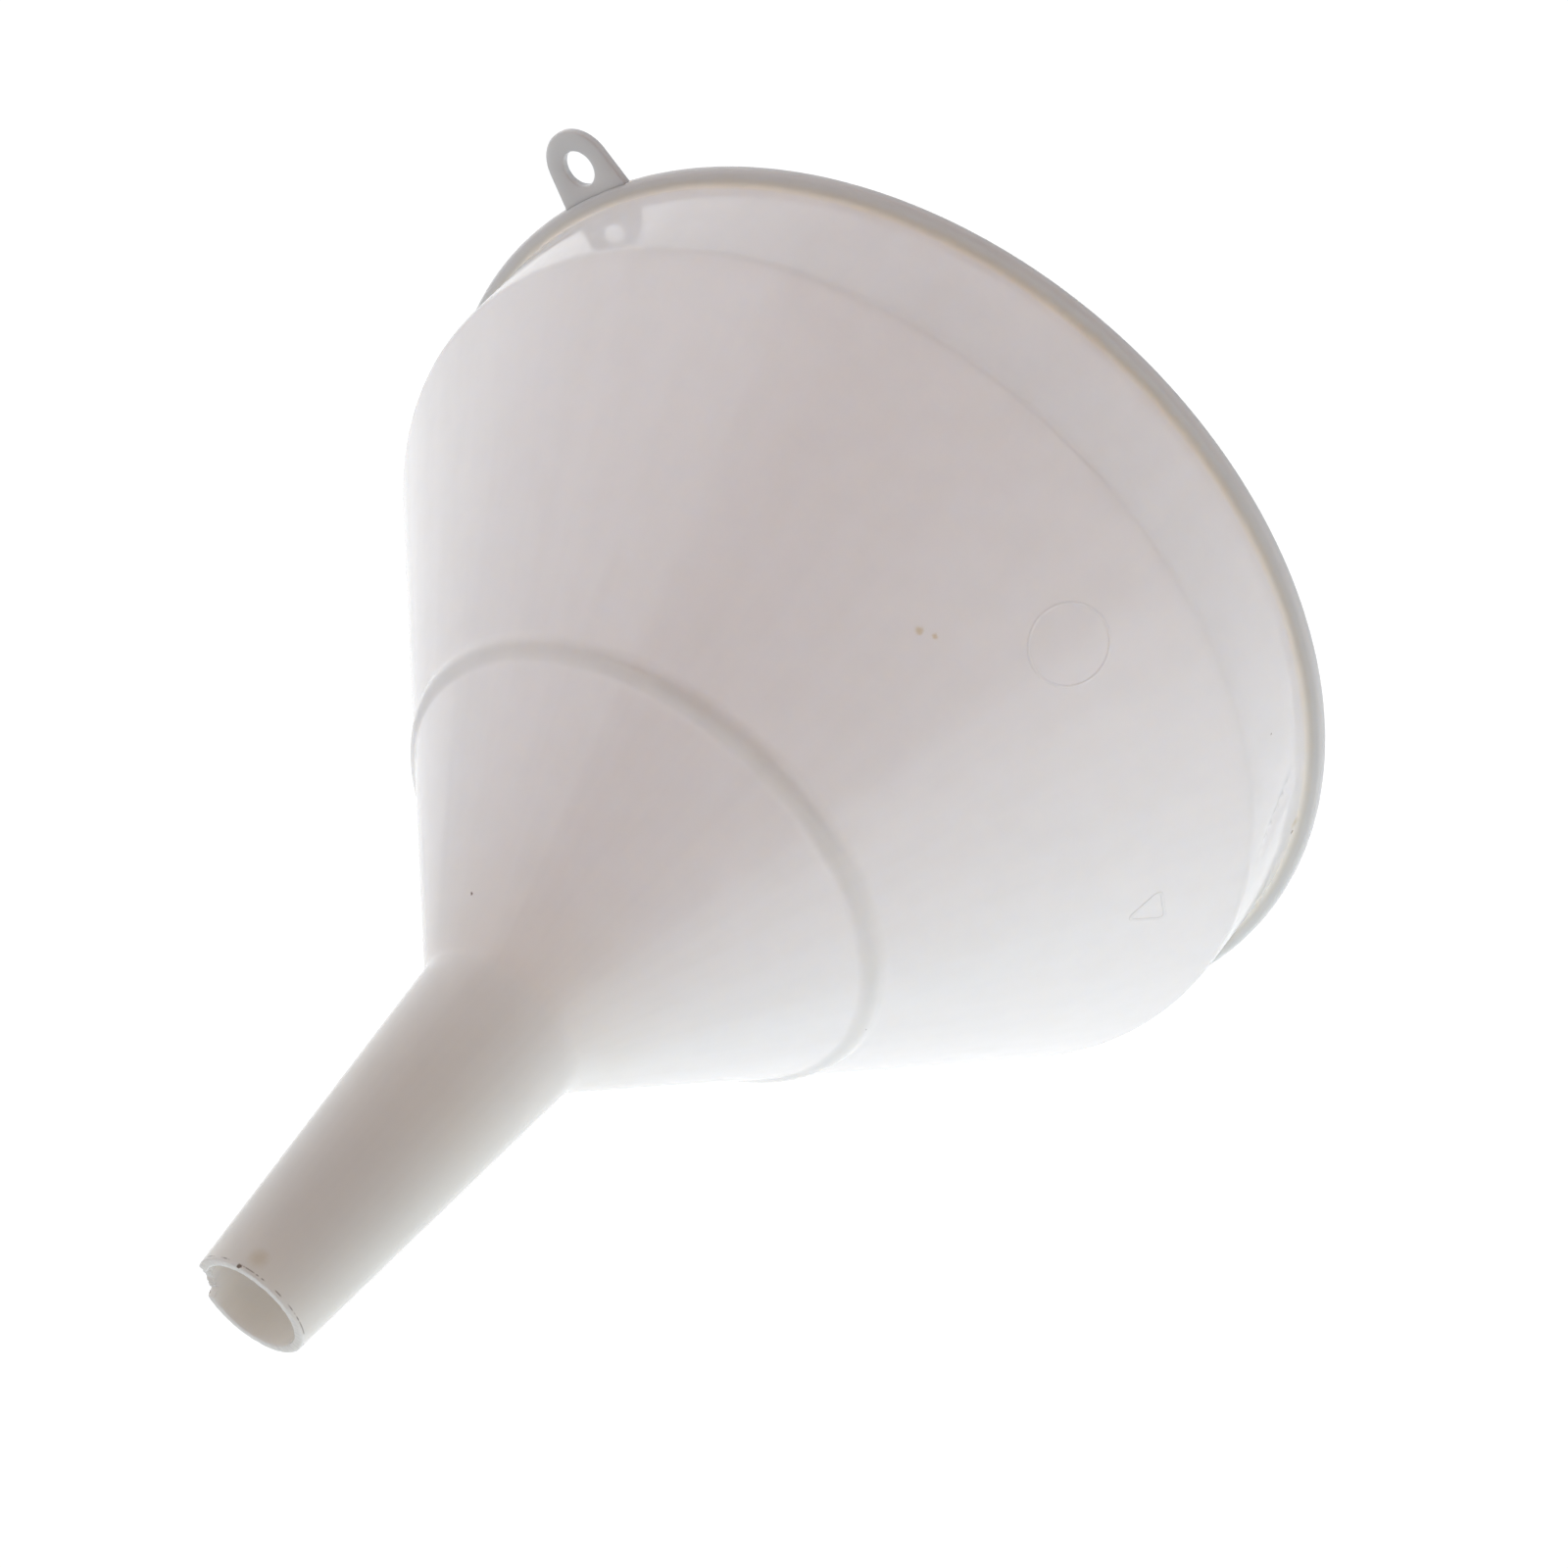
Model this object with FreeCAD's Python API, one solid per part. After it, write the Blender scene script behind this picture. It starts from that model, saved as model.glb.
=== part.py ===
import FreeCAD, Part
import math
import os

# Household funnel, moulded in one piece in polypropylene, drawn standing on its mouth.
# Origin: centre of the mouth face. +Z runs along the axis from the mouth to the spout's
# outlet, and +X points at the hanging tab. Millimetres and degrees.
# Each node is one zone of the moulding. Neighbouring zones share a face.

os.makedirs("parts", exist_ok=True)
V = FreeCAD.Vector
Z_AXIS = V(0, 0, 1)

# ---- Driving dimensions ----
MOUTH_D = 200.0         # outside of the rim
TOTAL_H = 190.2         # mouth face to outlet
WALL = 1.6              # the same everywhere

RIM_T = 2.2             # thickness of the rim along Z
RIM_W = 3.0             # rim's overhang beyond the collar's foot
RIM_ROUND = 0.9         # rounding of the rim's two outer edges
RIM_FILLET = 1.0        # fillet between rim and collar

COLLAR_H = 23.8         # mouth face to the corner of collar and cone
COLLAR_DRAFT = 3.7      # collar wall's lean from the axis
SHOULDER_R = 3.0        # outside radius where collar turns into cone

CONE_HALF = 38.6        # cone wall's lean from the axis
BEAD_AT = 0.578         # bead's place between collar corner and throat corner, along the cone
BEAD_W = 5.2            # width along the cone
BEAD_H = 0.6            # height off the cone

OUTLET_OD = 20.4        # outside of the spout at the outlet
SPOUT_HALF = 5.15       # spout wall's lean from the axis
THROAT_R = 4.0          # outside fillet between cone and spout
OUTLET_ROUND = 0.35     # rounding of the outlet's outer edge

TAB_HOLE_D = 7.0
TAB_RIM_GAP = 2.3       # web between the rim's outer edge and the hole
TAB_EDGE = 4.0          # tab's width around the hole
TAB_ROOT_W = 17.0       # tab's width where it meets the rim
TAB_T = 1.6             # tab's thickness
TAB_Z = 0.2             # tab's clearance above the mouth face
TAB_ROUND = 0.4         # rounding of the tab's outer edges

MARK_H = 0.25           # height of both relief marks off the cone
ROUNDEL_D = 15.0        # plain round mark
ROUNDEL_LINE = 0.7
ROUNDEL_AZ = -84.8      # degrees round the axis from +X
ROUNDEL_AT = 0.17       # place between collar corner and throat corner
TRI_SIDE = 10.0         # plain triangular mark
TRI_LINE = 0.8
TRI_AZ = -126.5
TRI_AT = 0.152
TRI_TURN = 14.0         # turn of the triangle in its own plane


# ---- Derived lines of the outside profile, as (radius, height) ----
def unit(angle):
    """Direction up a wall that leans inwards by this angle."""
    a = math.radians(angle)
    return (-math.sin(a), math.cos(a))


def normal(angle):
    """Outward normal of a wall that leans inwards by this angle."""
    a = math.radians(angle)
    return (math.cos(a), math.sin(a))


def move(p, d, s):
    return (p[0] + d[0] * s, p[1] + d[1] * s)


mouth_r = MOUTH_D / 2
foot_r = mouth_r - RIM_W
outlet_r = OUTLET_OD / 2
collar_corner = (foot_r - (COLLAR_H - RIM_T) * math.tan(math.radians(COLLAR_DRAFT)), COLLAR_H)

# Throat corner: where the cone's line meets the spout's line.
tc = math.tan(math.radians(CONE_HALF))
ts = math.tan(math.radians(SPOUT_HALF))
throat_z = (collar_corner[0] + tc * COLLAR_H - outlet_r - ts * TOTAL_H) / (tc - ts)
throat_corner = (outlet_r + ts * (TOTAL_H - throat_z), throat_z)

cone_len = math.hypot(collar_corner[0] - throat_corner[0], throat_corner[1] - collar_corner[1])
cone_dir = unit(CONE_HALF)
cone_n = normal(CONE_HALF)
spout_n = normal(SPOUT_HALF)
collar_n = normal(COLLAR_DRAFT)

# Shoulder arc, bulging outwards.
sh_t = SHOULDER_R * math.tan(math.radians(CONE_HALF - COLLAR_DRAFT) / 2)
sh_a = move(collar_corner, unit(COLLAR_DRAFT), -sh_t)
sh_b = move(collar_corner, cone_dir, sh_t)
sh_c = move(sh_a, collar_n, -SHOULDER_R)

# Throat arc, hollow on the outside.
th_t = THROAT_R * math.tan(math.radians(CONE_HALF - SPOUT_HALF) / 2)
th_a = move(throat_corner, cone_dir, -th_t)
th_b = move(throat_corner, unit(SPOUT_HALF), th_t)
th_c = move(th_a, cone_n, THROAT_R)

bead_mid = move(collar_corner, cone_dir, BEAD_AT * cone_len)
outlet = (outlet_r, TOTAL_H)


# ---- Shape helpers ----
def pt(p):
    return V(p[0], 0, p[1])


def line(a, b):
    return Part.makeLine(pt(a), pt(b))


def arc(a, centre, b):
    """Short arc from a to b about a centre."""
    ma = ((a[0] + b[0]) / 2 - centre[0], (a[1] + b[1]) / 2 - centre[1])
    r = math.hypot(a[0] - centre[0], a[1] - centre[1])
    k = r / math.hypot(*ma)
    mid = (centre[0] + ma[0] * k, centre[1] + ma[1] * k)
    return Part.Arc(pt(a), pt(mid), pt(b)).toShape()


def ring(edges):
    """Solid of revolution of a closed section."""
    face = Part.Face(Part.Wire(edges))
    solid = face.revolve(V(0, 0, 0), Z_AXIS, 360)
    return solid.Solids[0] if solid.Solids else Part.Solid(solid)


def wall_ring(a, b, n):
    """Straight length of wall from a to b, cut square to itself at both ends."""
    ia = move(a, n, -WALL)
    ib = move(b, n, -WALL)
    return ring([line(a, b), line(b, ib), line(ib, ia), line(ia, a)])


def save(name, shape):
    """Writes one zone as one closed solid."""
    solids = shape.Solids
    if len(solids) != 1 or not shape.isValid():
        raise ValueError("%s has %d solids" % (name, len(solids)))
    solids[0].exportStep("parts/%s.step" % name)
    return solids[0]


# ---- Rim: a flat ring, rounded outside, with a fillet that wraps the collar's foot ----
foot_in = foot_r - WALL / collar_n[0]
c45 = math.sqrt(0.5)
low_c = (mouth_r - RIM_ROUND, RIM_ROUND)
high_c = (mouth_r - RIM_ROUND, RIM_T - RIM_ROUND)
fil_top = move((foot_r, RIM_T), unit(COLLAR_DRAFT), RIM_FILLET)
fil_out = (foot_r + RIM_FILLET, RIM_T)
fil_mid = (foot_r + RIM_FILLET * (1 - c45), RIM_T + RIM_FILLET * (1 - c45))
rim = ring([
    line((foot_in, 0), (low_c[0], 0)),
    arc((low_c[0], 0), low_c, (mouth_r, low_c[1])),
    line((mouth_r, low_c[1]), (mouth_r, high_c[1])),
    arc((mouth_r, high_c[1]), high_c, (high_c[0], RIM_T)),
    line((high_c[0], RIM_T), fil_out),
    Part.Arc(pt(fil_out), pt(fil_mid), pt(fil_top)).toShape(),
    line(fil_top, (foot_r, RIM_T)),
    line((foot_r, RIM_T), (foot_in, RIM_T)),
    line((foot_in, RIM_T), (foot_in, 0)),
])
rim = save("rim_flange", rim)

# ---- Hanging tab: a flat loop level with the rim ----
hole_x = mouth_r + TAB_RIM_GAP + TAB_HOLE_D / 2
tab_r = TAB_HOLE_D / 2 + TAB_EDGE
root_x = foot_r
root_y = TAB_ROOT_W / 2 + (mouth_r - foot_r) * 0.2
far = math.hypot(hole_x - root_x, root_y)
lean = math.atan2(root_y, hole_x - root_x)
swing = math.acos(tab_r / far)
theta = math.pi - lean - swing
touch = V(hole_x + tab_r * math.cos(theta), tab_r * math.sin(theta), 0)
touch_low = V(touch.x, -touch.y, 0)
root = V(root_x, root_y, 0)
root_low = V(root_x, -root_y, 0)
outline = Part.Wire([
    Part.makeLine(root_low, touch_low),
    Part.Arc(touch_low, V(hole_x + tab_r, 0, 0), touch).toShape(),
    Part.makeLine(touch, root),
    Part.makeLine(root, root_low),
])
tab = Part.Face(outline).extrude(V(0, 0, TAB_T))
round_edges = []
for e in tab.Edges:
    flat = abs(e.BoundBox.ZMax - e.BoundBox.ZMin) < 1e-6
    at_root = e.BoundBox.XMax < root_x + 1e-6
    if flat and not at_root:
        round_edges.append(e)
tab = tab.makeFillet(TAB_ROUND, round_edges)
tab.translate(V(0, 0, TAB_Z))
hole = Part.makeCylinder(TAB_HOLE_D / 2, 20, V(hole_x, 0, -10), Z_AXIS)
plug = Part.makeCylinder(foot_r + 0.5 * RIM_W, 20, V(0, 0, -10), Z_AXIS)
tab = save("hang_tab", tab.cut(hole).cut(plug).cut(rim))

# ---- Collar: a steep band above the rim, cut level at its foot ----
sh_a_in = move(sh_a, collar_n, -WALL)
sh_b_in = move(sh_b, cone_n, -WALL)
save("collar_band", ring([
    line((foot_r, RIM_T), sh_a),
    line(sh_a, sh_a_in),
    line(sh_a_in, (foot_in, RIM_T)),
    line((foot_in, RIM_T), (foot_r, RIM_T)),
]))

# ---- Shoulder: collar turns into cone ----
save("shoulder_ring", ring([
    arc(sh_a, sh_c, sh_b),
    line(sh_b, sh_b_in),
    arc(sh_b_in, sh_c, sh_a_in),
    line(sh_a_in, sh_a),
]))

# ---- Cone, in two lengths that meet under the bead ----
upper = save("upper_cone", wall_ring(sh_b, bead_mid, cone_n))
save("lower_cone", wall_ring(bead_mid, th_a, cone_n))

# ---- Bead: low rounded ring on the cone's outside ----
bead_a = move(bead_mid, cone_dir, -BEAD_W / 2)
bead_b = move(bead_mid, cone_dir, BEAD_W / 2)
bead_top = move(bead_mid, cone_n, BEAD_H)
save("bead_ring", ring([
    Part.Arc(pt(bead_a), pt(bead_top), pt(bead_b)).toShape(),
    line(bead_b, bead_mid),
    line(bead_mid, bead_a),
]))

# ---- Throat: cone turns into spout ----
th_a_in = move(th_a, cone_n, -WALL)
th_b_in = move(th_b, spout_n, -WALL)
save("throat_ring", ring([
    arc(th_a, th_c, th_b),
    line(th_b, th_b_in),
    arc(th_b_in, th_c, th_a_in),
    line(th_a_in, th_a),
]))

# ---- Spout: tapered tube, cut level at the outlet ----
lip_a = (outlet_r + OUTLET_ROUND * ts, TOTAL_H - OUTLET_ROUND)
lip_b = (outlet_r - OUTLET_ROUND, TOTAL_H)
lip_c = (lip_a[0] - OUTLET_ROUND, lip_a[1])
lip_m = (lip_c[0] + OUTLET_ROUND * c45, lip_c[1] + OUTLET_ROUND * c45)
outlet_in = (outlet_r - WALL / spout_n[0], TOTAL_H)
save("spout_tube", ring([
    line(th_b, lip_a),
    Part.Arc(pt(lip_a), pt(lip_m), pt(lip_b)).toShape(),
    line(lip_b, outlet_in),
    line(outlet_in, th_b_in),
    line(th_b_in, th_b),
]))


# ---- Relief marks on the cone: a plain ring and a plain triangle ----
def skin(depth):
    """Layer on the outside of the upper cone, this thick, starting at its surface."""
    a = move(sh_b, cone_n, depth)
    b = move(bead_a, cone_n, depth)
    return ring([line(sh_b, bead_a), line(bead_a, b), line(b, a), line(a, sh_b)])


def stand_on_cone(shape, at, azimuth):
    """Turns a shape drawn round the origin, with Z as its height, square on to the cone."""
    p = move(collar_corner, cone_dir, at * cone_len)
    shape.translate(V(0, 0, -3))
    shape.rotate(V(0, 0, 0), V(0, 1, 0), 90 - CONE_HALF)
    shape.translate(V(p[0], 0, p[1]))
    shape.rotate(V(0, 0, 0), Z_AXIS, azimuth)
    return shape


def prism(side):
    """Triangle with rounded corners, centred on the origin, 6 mm high."""
    r = side / math.sqrt(3)
    corners = []
    for k in range(3):
        a = math.radians(TRI_TURN + 120 * k)
        corners.append(V(r * math.cos(a), r * math.sin(a), 0))
    wire = Part.makePolygon(corners + [corners[0]])
    solid = Part.Face(wire).extrude(V(0, 0, 6))
    upright = [e for e in solid.Edges if e.BoundBox.ZLength > 5]
    return solid.makeFillet(side * 0.12, upright)


mark_skin = skin(MARK_H)
outer = Part.makeCylinder(ROUNDEL_D / 2, 6)
inner = Part.makeCylinder(ROUNDEL_D / 2 - ROUNDEL_LINE, 6)
roundel = stand_on_cone(outer.cut(inner), ROUNDEL_AT, ROUNDEL_AZ)
save("mark_roundel", mark_skin.common(roundel))

tri = prism(TRI_SIDE).cut(prism(TRI_SIDE - 2 * math.sqrt(3) * TRI_LINE))
tri = stand_on_cone(tri, TRI_AT, TRI_AZ)
save("mark_triangle", mark_skin.common(tri))
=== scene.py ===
import math

import bmesh
import bpy
from bpy.props import FloatProperty, FloatVectorProperty, IntProperty, PointerProperty
from mathutils import Euler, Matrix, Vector, noise


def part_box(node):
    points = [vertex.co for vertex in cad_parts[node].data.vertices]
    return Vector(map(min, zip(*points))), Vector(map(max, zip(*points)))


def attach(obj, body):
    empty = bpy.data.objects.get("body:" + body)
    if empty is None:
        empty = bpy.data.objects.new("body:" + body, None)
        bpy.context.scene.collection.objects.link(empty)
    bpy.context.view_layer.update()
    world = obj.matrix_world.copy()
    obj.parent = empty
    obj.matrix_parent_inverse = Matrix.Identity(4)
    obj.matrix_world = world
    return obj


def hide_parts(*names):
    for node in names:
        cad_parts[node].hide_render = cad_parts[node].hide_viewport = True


bl_info = {
    "name": "Household Funnel",
    "version": (1, 0, 0),
    "blender": (4, 5, 0),
    "location": "3D View > Sidebar > Funnel",
    "description": "Builds the looks of a one-piece moulded funnel round its packed frame",
    "category": "Add Mesh",
}

# The funnel stands on its mouth. The axis is Z, the spout's outlet is at the top, and the
# hanging tab points along +X. Azimuths run round the axis from +X. Metres throughout.

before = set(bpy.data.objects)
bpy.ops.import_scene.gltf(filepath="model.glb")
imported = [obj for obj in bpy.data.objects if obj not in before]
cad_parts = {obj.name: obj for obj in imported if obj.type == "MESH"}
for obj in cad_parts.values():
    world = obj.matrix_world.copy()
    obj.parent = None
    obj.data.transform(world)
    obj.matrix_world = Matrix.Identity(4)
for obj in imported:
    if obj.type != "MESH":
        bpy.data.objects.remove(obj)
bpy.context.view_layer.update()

MM = 0.001
SKIN = 0.01 * MM  # the shell stays this far inside the CAD box
BODY = "root"
SHELL_NODES = (
    "rim_flange",
    "collar_band",
    "shoulder_ring",
    "upper_cone",
    "bead_ring",
    "lower_cone",
    "throat_ring",
    "spout_tube",
)

rim_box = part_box("rim_flange")
collar_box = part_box("collar_band")
spout_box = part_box("spout_tube")
tab_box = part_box("hang_tab")

LENGTH = {"unit": "LENGTH", "subtype": "DISTANCE"}
ANGLE = {"unit": "ROTATION", "subtype": "ANGLE"}
COLOUR = {"subtype": "COLOR", "size": 3, "min": 0.0, "max": 1.0}
LIGHT = {"subtype": "COLOR", "size": 3, "min": 0.0, "soft_max": 5.0}


# ---- Colour ----
def linear(hex_colour):
    """Linear red, green and blue of an sRGB hex colour."""
    channels = [int(hex_colour[k : k + 2], 16) / 255 for k in (0, 2, 4)]
    return tuple(c / 12.92 if c <= 0.04045 else ((c + 0.055) / 1.055) ** 2.4 for c in channels)


# ---- Settings ----
class FunnelShellSettings(bpy.types.PropertyGroup):
    """Sizes of the moulded shell"""

    mouth_radius: FloatProperty(
        name="Mouth Radius", description="Outside of the rim", default=rim_box[1].y - SKIN, **LENGTH
    )
    height: FloatProperty(
        name="Height", description="Mouth face to outlet", default=spout_box[1].z - SKIN, **LENGTH
    )
    wall: FloatProperty(
        name="Wall", description="Wall thickness", default=1.6 * MM, **LENGTH
    )
    rim_thickness: FloatProperty(
        name="Rim Thickness", description="Flange along the axis", default=2.2 * MM, **LENGTH
    )
    rim_round: FloatProperty(
        name="Rim Rounding", description="Rounding of the flange's edges", default=0.9 * MM, **LENGTH
    )
    foot_radius: FloatProperty(
        name="Collar Foot Radius",
        description="Outside of the collar where it meets the flange",
        default=collar_box[1].y,
        **LENGTH,
    )
    rim_fillet: FloatProperty(
        name="Rim Fillet", description="Fillet between flange and collar", default=1.05 * MM, **LENGTH
    )
    collar_height: FloatProperty(
        name="Collar Height", description="Mouth face to cone", default=23.8 * MM, **LENGTH
    )
    collar_draft: FloatProperty(
        name="Collar Draft", description="Collar's lean", default=math.radians(3.7), **ANGLE
    )
    shoulder_round: FloatProperty(
        name="Shoulder Radius", description="Collar to cone", default=3.0 * MM, **LENGTH
    )
    cone_half: FloatProperty(
        name="Cone Half Angle", description="Cone's lean", default=math.radians(38.6), **ANGLE
    )
    bead_height: FloatProperty(
        name="Bead Height", description="Bead off the cone", default=0.75 * MM, **LENGTH
    )
    bead_width: FloatProperty(
        name="Bead Width", description="Bead along the cone, with its soft feet", default=6.4 * MM, **LENGTH
    )
    bead_place: FloatProperty(
        name="Bead Place",
        description="Share of the cone between collar and bead",
        default=0.578,
        subtype="FACTOR",
    )
    throat_round: FloatProperty(
        name="Throat Radius", description="Cone to spout", default=4.0 * MM, **LENGTH
    )
    outlet_radius: FloatProperty(
        name="Outlet Radius", description="Outside of the spout's end", default=10.2 * MM, **LENGTH
    )
    spout_half: FloatProperty(
        name="Spout Half Angle", description="Spout's lean", default=math.radians(5.15), **ANGLE
    )
    lip_round: FloatProperty(
        name="Lip Rounding", description="Outlet's outer edge", default=0.35 * MM, **LENGTH
    )
    lip_nicks: FloatProperty(
        name="Lip Nicks", description="Depth of the small nicks in the lip", default=0.22 * MM, **LENGTH
    )
    lip_chip: FloatProperty(
        name="Lip Chip", description="Depth of the chip broken out of the lip", default=1.7 * MM, **LENGTH
    )
    crease: FloatProperty(
        name="Collar Crease", description="Depth of the knock in the collar", default=0.85 * MM, **LENGTH
    )
    segments: IntProperty(
        name="Segments", description="Faces round the axis", default=320, min=48
    )


class FunnelTabSettings(bpy.types.PropertyGroup):
    """Sizes of the hanging tab"""

    reach: FloatProperty(
        name="Reach", description="Axis to the tab's end", default=tab_box[1].x - 0.3 * MM, **LENGTH
    )
    low: FloatProperty(
        name="Underside", description="Tab's underside above the mouth face", default=tab_box[0].z, **LENGTH
    )
    thickness: FloatProperty(
        name="Thickness", description="Tab's thickness", default=tab_box[1].z - tab_box[0].z, **LENGTH
    )
    hole: FloatProperty(
        name="Hole Diameter", description="Hanging hole", default=7.0 * MM, **LENGTH
    )
    edge: FloatProperty(
        name="Edge Width", description="Plastic round the hole", default=4.0 * MM, **LENGTH
    )
    root_width: FloatProperty(
        name="Root Width", description="Tab's width inside the rim", default=18.2 * MM, **LENGTH
    )
    round_edge: FloatProperty(
        name="Edge Rounding", description="Rounding of the outer edges", default=0.4 * MM, **LENGTH
    )
    segments: IntProperty(
        name="Segments", description="Faces round the hole", default=192, min=24
    )


class FunnelMarkSettings(bpy.types.PropertyGroup):
    """Sizes of the two plain relief marks"""

    relief: FloatProperty(
        name="Relief", description="Height of the marks off the cone", default=0.12 * MM, **LENGTH
    )
    sunk: FloatProperty(
        name="Sunk", description="Depth of the marks' roots in the wall", default=0.06 * MM, **LENGTH
    )
    round_diameter: FloatProperty(
        name="Round Mark", description="Outside diameter", default=14.9 * MM, **LENGTH
    )
    round_line: FloatProperty(
        name="Round Mark Line", description="Width of its ring", default=0.6 * MM, **LENGTH
    )
    triangle_side: FloatProperty(
        name="Triangle Mark", description="Side along the line's middle", default=8.6 * MM, **LENGTH
    )
    triangle_line: FloatProperty(
        name="Triangle Mark Line", description="Width of its line", default=0.7 * MM, **LENGTH
    )


class FunnelFinishSettings(bpy.types.PropertyGroup):
    """Colours of the plastic, of its wear and of the painted shadow under the lip"""

    plastic: FloatVectorProperty(
        name="Plastic", description="Natural polypropylene", default=linear("F4F3F1"), **COLOUR
    )
    flow: FloatVectorProperty(
        name="Flow Lines", description="Slightly denser streaks", default=linear("F2F1EF"), **COLOUR
    )
    aged: FloatVectorProperty(
        name="Aged Fillet", description="Yellowed plastic at the rim", default=linear("F2EADB"), **COLOUR
    )
    # This dark colour serves the dirt specks and also the painted shadow line under the lip.
    dirt_and_shadow: FloatVectorProperty(
        name="Dirt and Shadow", description="Brown specks, and the painted shadow under the lip", default=linear("6B5340"), **COLOUR
    )
    stain: FloatVectorProperty(
        name="Stain", description="Faint handling stains", default=linear("DACDB2"), **COLOUR
    )
    ageing: FloatProperty(
        name="Ageing", description="How far the fillet has yellowed", default=0.3, subtype="FACTOR"
    )
    pouring: FloatProperty(
        name="Spout Ageing", description="How far the spout has yellowed", default=0.35, subtype="FACTOR"
    )
    # How dark the painted shadow line under the lip is.
    lip_shadow: FloatProperty(
        name="Lip Shadow", description="How dark the line under the lip is", default=0.55, subtype="FACTOR"
    )
    translucency: FloatProperty(
        name="Translucency", description="How far light travels in the wall", default=1.7 * MM, **LENGTH
    )
    gloss_low: FloatProperty(
        name="Roughness Low", description="Roughness where glossiest", default=0.07, subtype="FACTOR"
    )
    gloss_high: FloatProperty(
        name="Roughness High", description="Roughness where dullest", default=0.15, subtype="FACTOR"
    )


class FunnelStageSettings(bpy.types.PropertyGroup):
    """Floor, light and camera"""

    camera_place: FloatVectorProperty(
        name="Camera Place",
        description="Camera's position",
        default=(0.15961, -0.33854, 0.33795),
        subtype="XYZ",
        size=3,
    )
    camera_turn: FloatVectorProperty(
        name="Camera Turn",
        description="Camera's rotation, as XYZ angles",
        default=(math.radians(-43.876), math.radians(30.853), math.radians(-125.173)),
        subtype="EULER",
        size=3,
    )
    camera_lens: FloatProperty(
        name="Lens", description="Focal length on a 36 mm sensor", default=57.1, unit="CAMERA"
    )
    floor_radius: FloatProperty(
        name="Floor Radius", description="Half the floor's width", default=4.0, **LENGTH
    )
    floor_colour: FloatVectorProperty(
        name="Floor", description="Pale board under its own light", default=linear("5A5A5A"), **COLOUR
    )
    floor_glow: FloatProperty(
        name="Floor Glow", description="Light given off by the lit board", default=1.0
    )
    under_light: FloatVectorProperty(
        name="Under Light",
        description="Board light that enters the mouth",
        default=(1.65, 1.61, 2.00),
        **LIGHT,
    )
    tab_side: FloatVectorProperty(
        name="Tab Side", description="Light from the tab's side", default=(0.99, 0.98, 1.01), **LIGHT
    )
    back: FloatVectorProperty(
        name="Back", description="Light from +Y", default=(0.74, 0.79, 0.83), **LIGHT
    )
    window: FloatVectorProperty(
        name="Window", description="Large soft light from -X", default=(1.20, 1.28, 1.32), **LIGHT
    )
    shade: FloatVectorProperty(
        name="Shade", description="Dark side of the studio", default=(0.27, 0.17, 0.13), **LIGHT
    )
    ceiling: FloatVectorProperty(
        name="Ceiling", description="Light from above", default=(0.02, 0.02, 0.02), **LIGHT
    )
    low: FloatVectorProperty(
        name="Low", description="Light thrown up all round by the board", default=(0.25, 0.30, 0.35), **LIGHT
    )


# ---- Profile helpers: places are (radius, height) ----
def up_wall(lean):
    """Direction up a wall that leans inwards."""
    return Vector((-math.sin(lean), math.cos(lean)))


def off_wall(lean):
    """Outward normal of a wall that leans inwards."""
    return Vector((math.cos(lean), math.sin(lean)))


def meet(a, along_a, b, along_b):
    """Where two lines cross."""
    cross = along_a.x * along_b.y - along_a.y * along_b.x
    share = ((b.x - a.x) * along_b.y - (b.y - a.y) * along_b.x) / cross
    return a + along_a * share


def rounded_path(corners):
    """Closed path through corners, each (place, rounding radius, spacing of the points after it)."""
    arcs = []
    for k, (place, radius, _) in enumerate(corners):
        before = (corners[k - 1][0] - place).normalized()
        after = (corners[(k + 1) % len(corners)][0] - place).normalized()
        if radius <= 0:
            arcs.append([place])
            continue
        half = before.angle(after) / 2
        reach = radius / math.tan(half)
        middle = place + (before + after).normalized() * (radius / math.sin(half))
        turn = math.pi - 2 * half
        count = max(2, math.ceil(math.degrees(turn) / 9))
        first = place + before * reach - middle
        last = place + after * reach - middle
        sign = 1 if first.x * last.y - first.y * last.x > 0 else -1
        arc = []
        for j in range(count + 1):
            a = sign * turn * j / count
            spun = Vector((
                first.x * math.cos(a) - first.y * math.sin(a),
                first.x * math.sin(a) + first.y * math.cos(a),
            ))
            arc.append(middle + spun)
        arcs.append(arc)
    path = []
    for k, (_, _, spacing) in enumerate(corners):
        path += arcs[k]
        start = arcs[k][-1]
        end = arcs[(k + 1) % len(arcs)][0]
        count = max(1, math.ceil((end - start).length / spacing))
        path += [start.lerp(end, j / count) for j in range(1, count)]
    return path


def smooth(share):
    """0 to 1 with a soft start and end."""
    t = min(1.0, max(0.0, share))
    return t * t * (3 - 2 * t)


# ---- Mesh helpers ----
def new_piece(name, bm, finish, nodes=()):
    """Object from a finished bmesh, riding on the root body and standing for CAD nodes."""
    bmesh.ops.recalc_face_normals(bm, faces=bm.faces)
    for face in bm.faces:
        face.smooth = True
    mesh = bpy.data.meshes.new(name)
    bm.to_mesh(mesh)
    bm.free()
    piece = bpy.data.objects.new(name, mesh)
    bpy.context.scene.collection.objects.link(piece)
    mesh.materials.append(finish)
    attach(piece, BODY)
    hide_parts(*nodes)
    return piece


def skin_rings(bm, rings):
    """Faces between neighbouring closed rings of vertices, the last joined to the first."""
    for k, ring in enumerate(rings):
        other = rings[(k + 1) % len(rings)]
        count = len(ring)
        for j in range(count):
            n = (j + 1) % count
            bm.faces.new((ring[j], ring[n], other[n], other[j]))


# ---- Materials ----
PRODUCT = {"operation": "MULTIPLY"}
COLOURS = {"data_type": "RGBA"}  # in: 0 the share of the second colour, 6 and 7 the colours; out: 2


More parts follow.
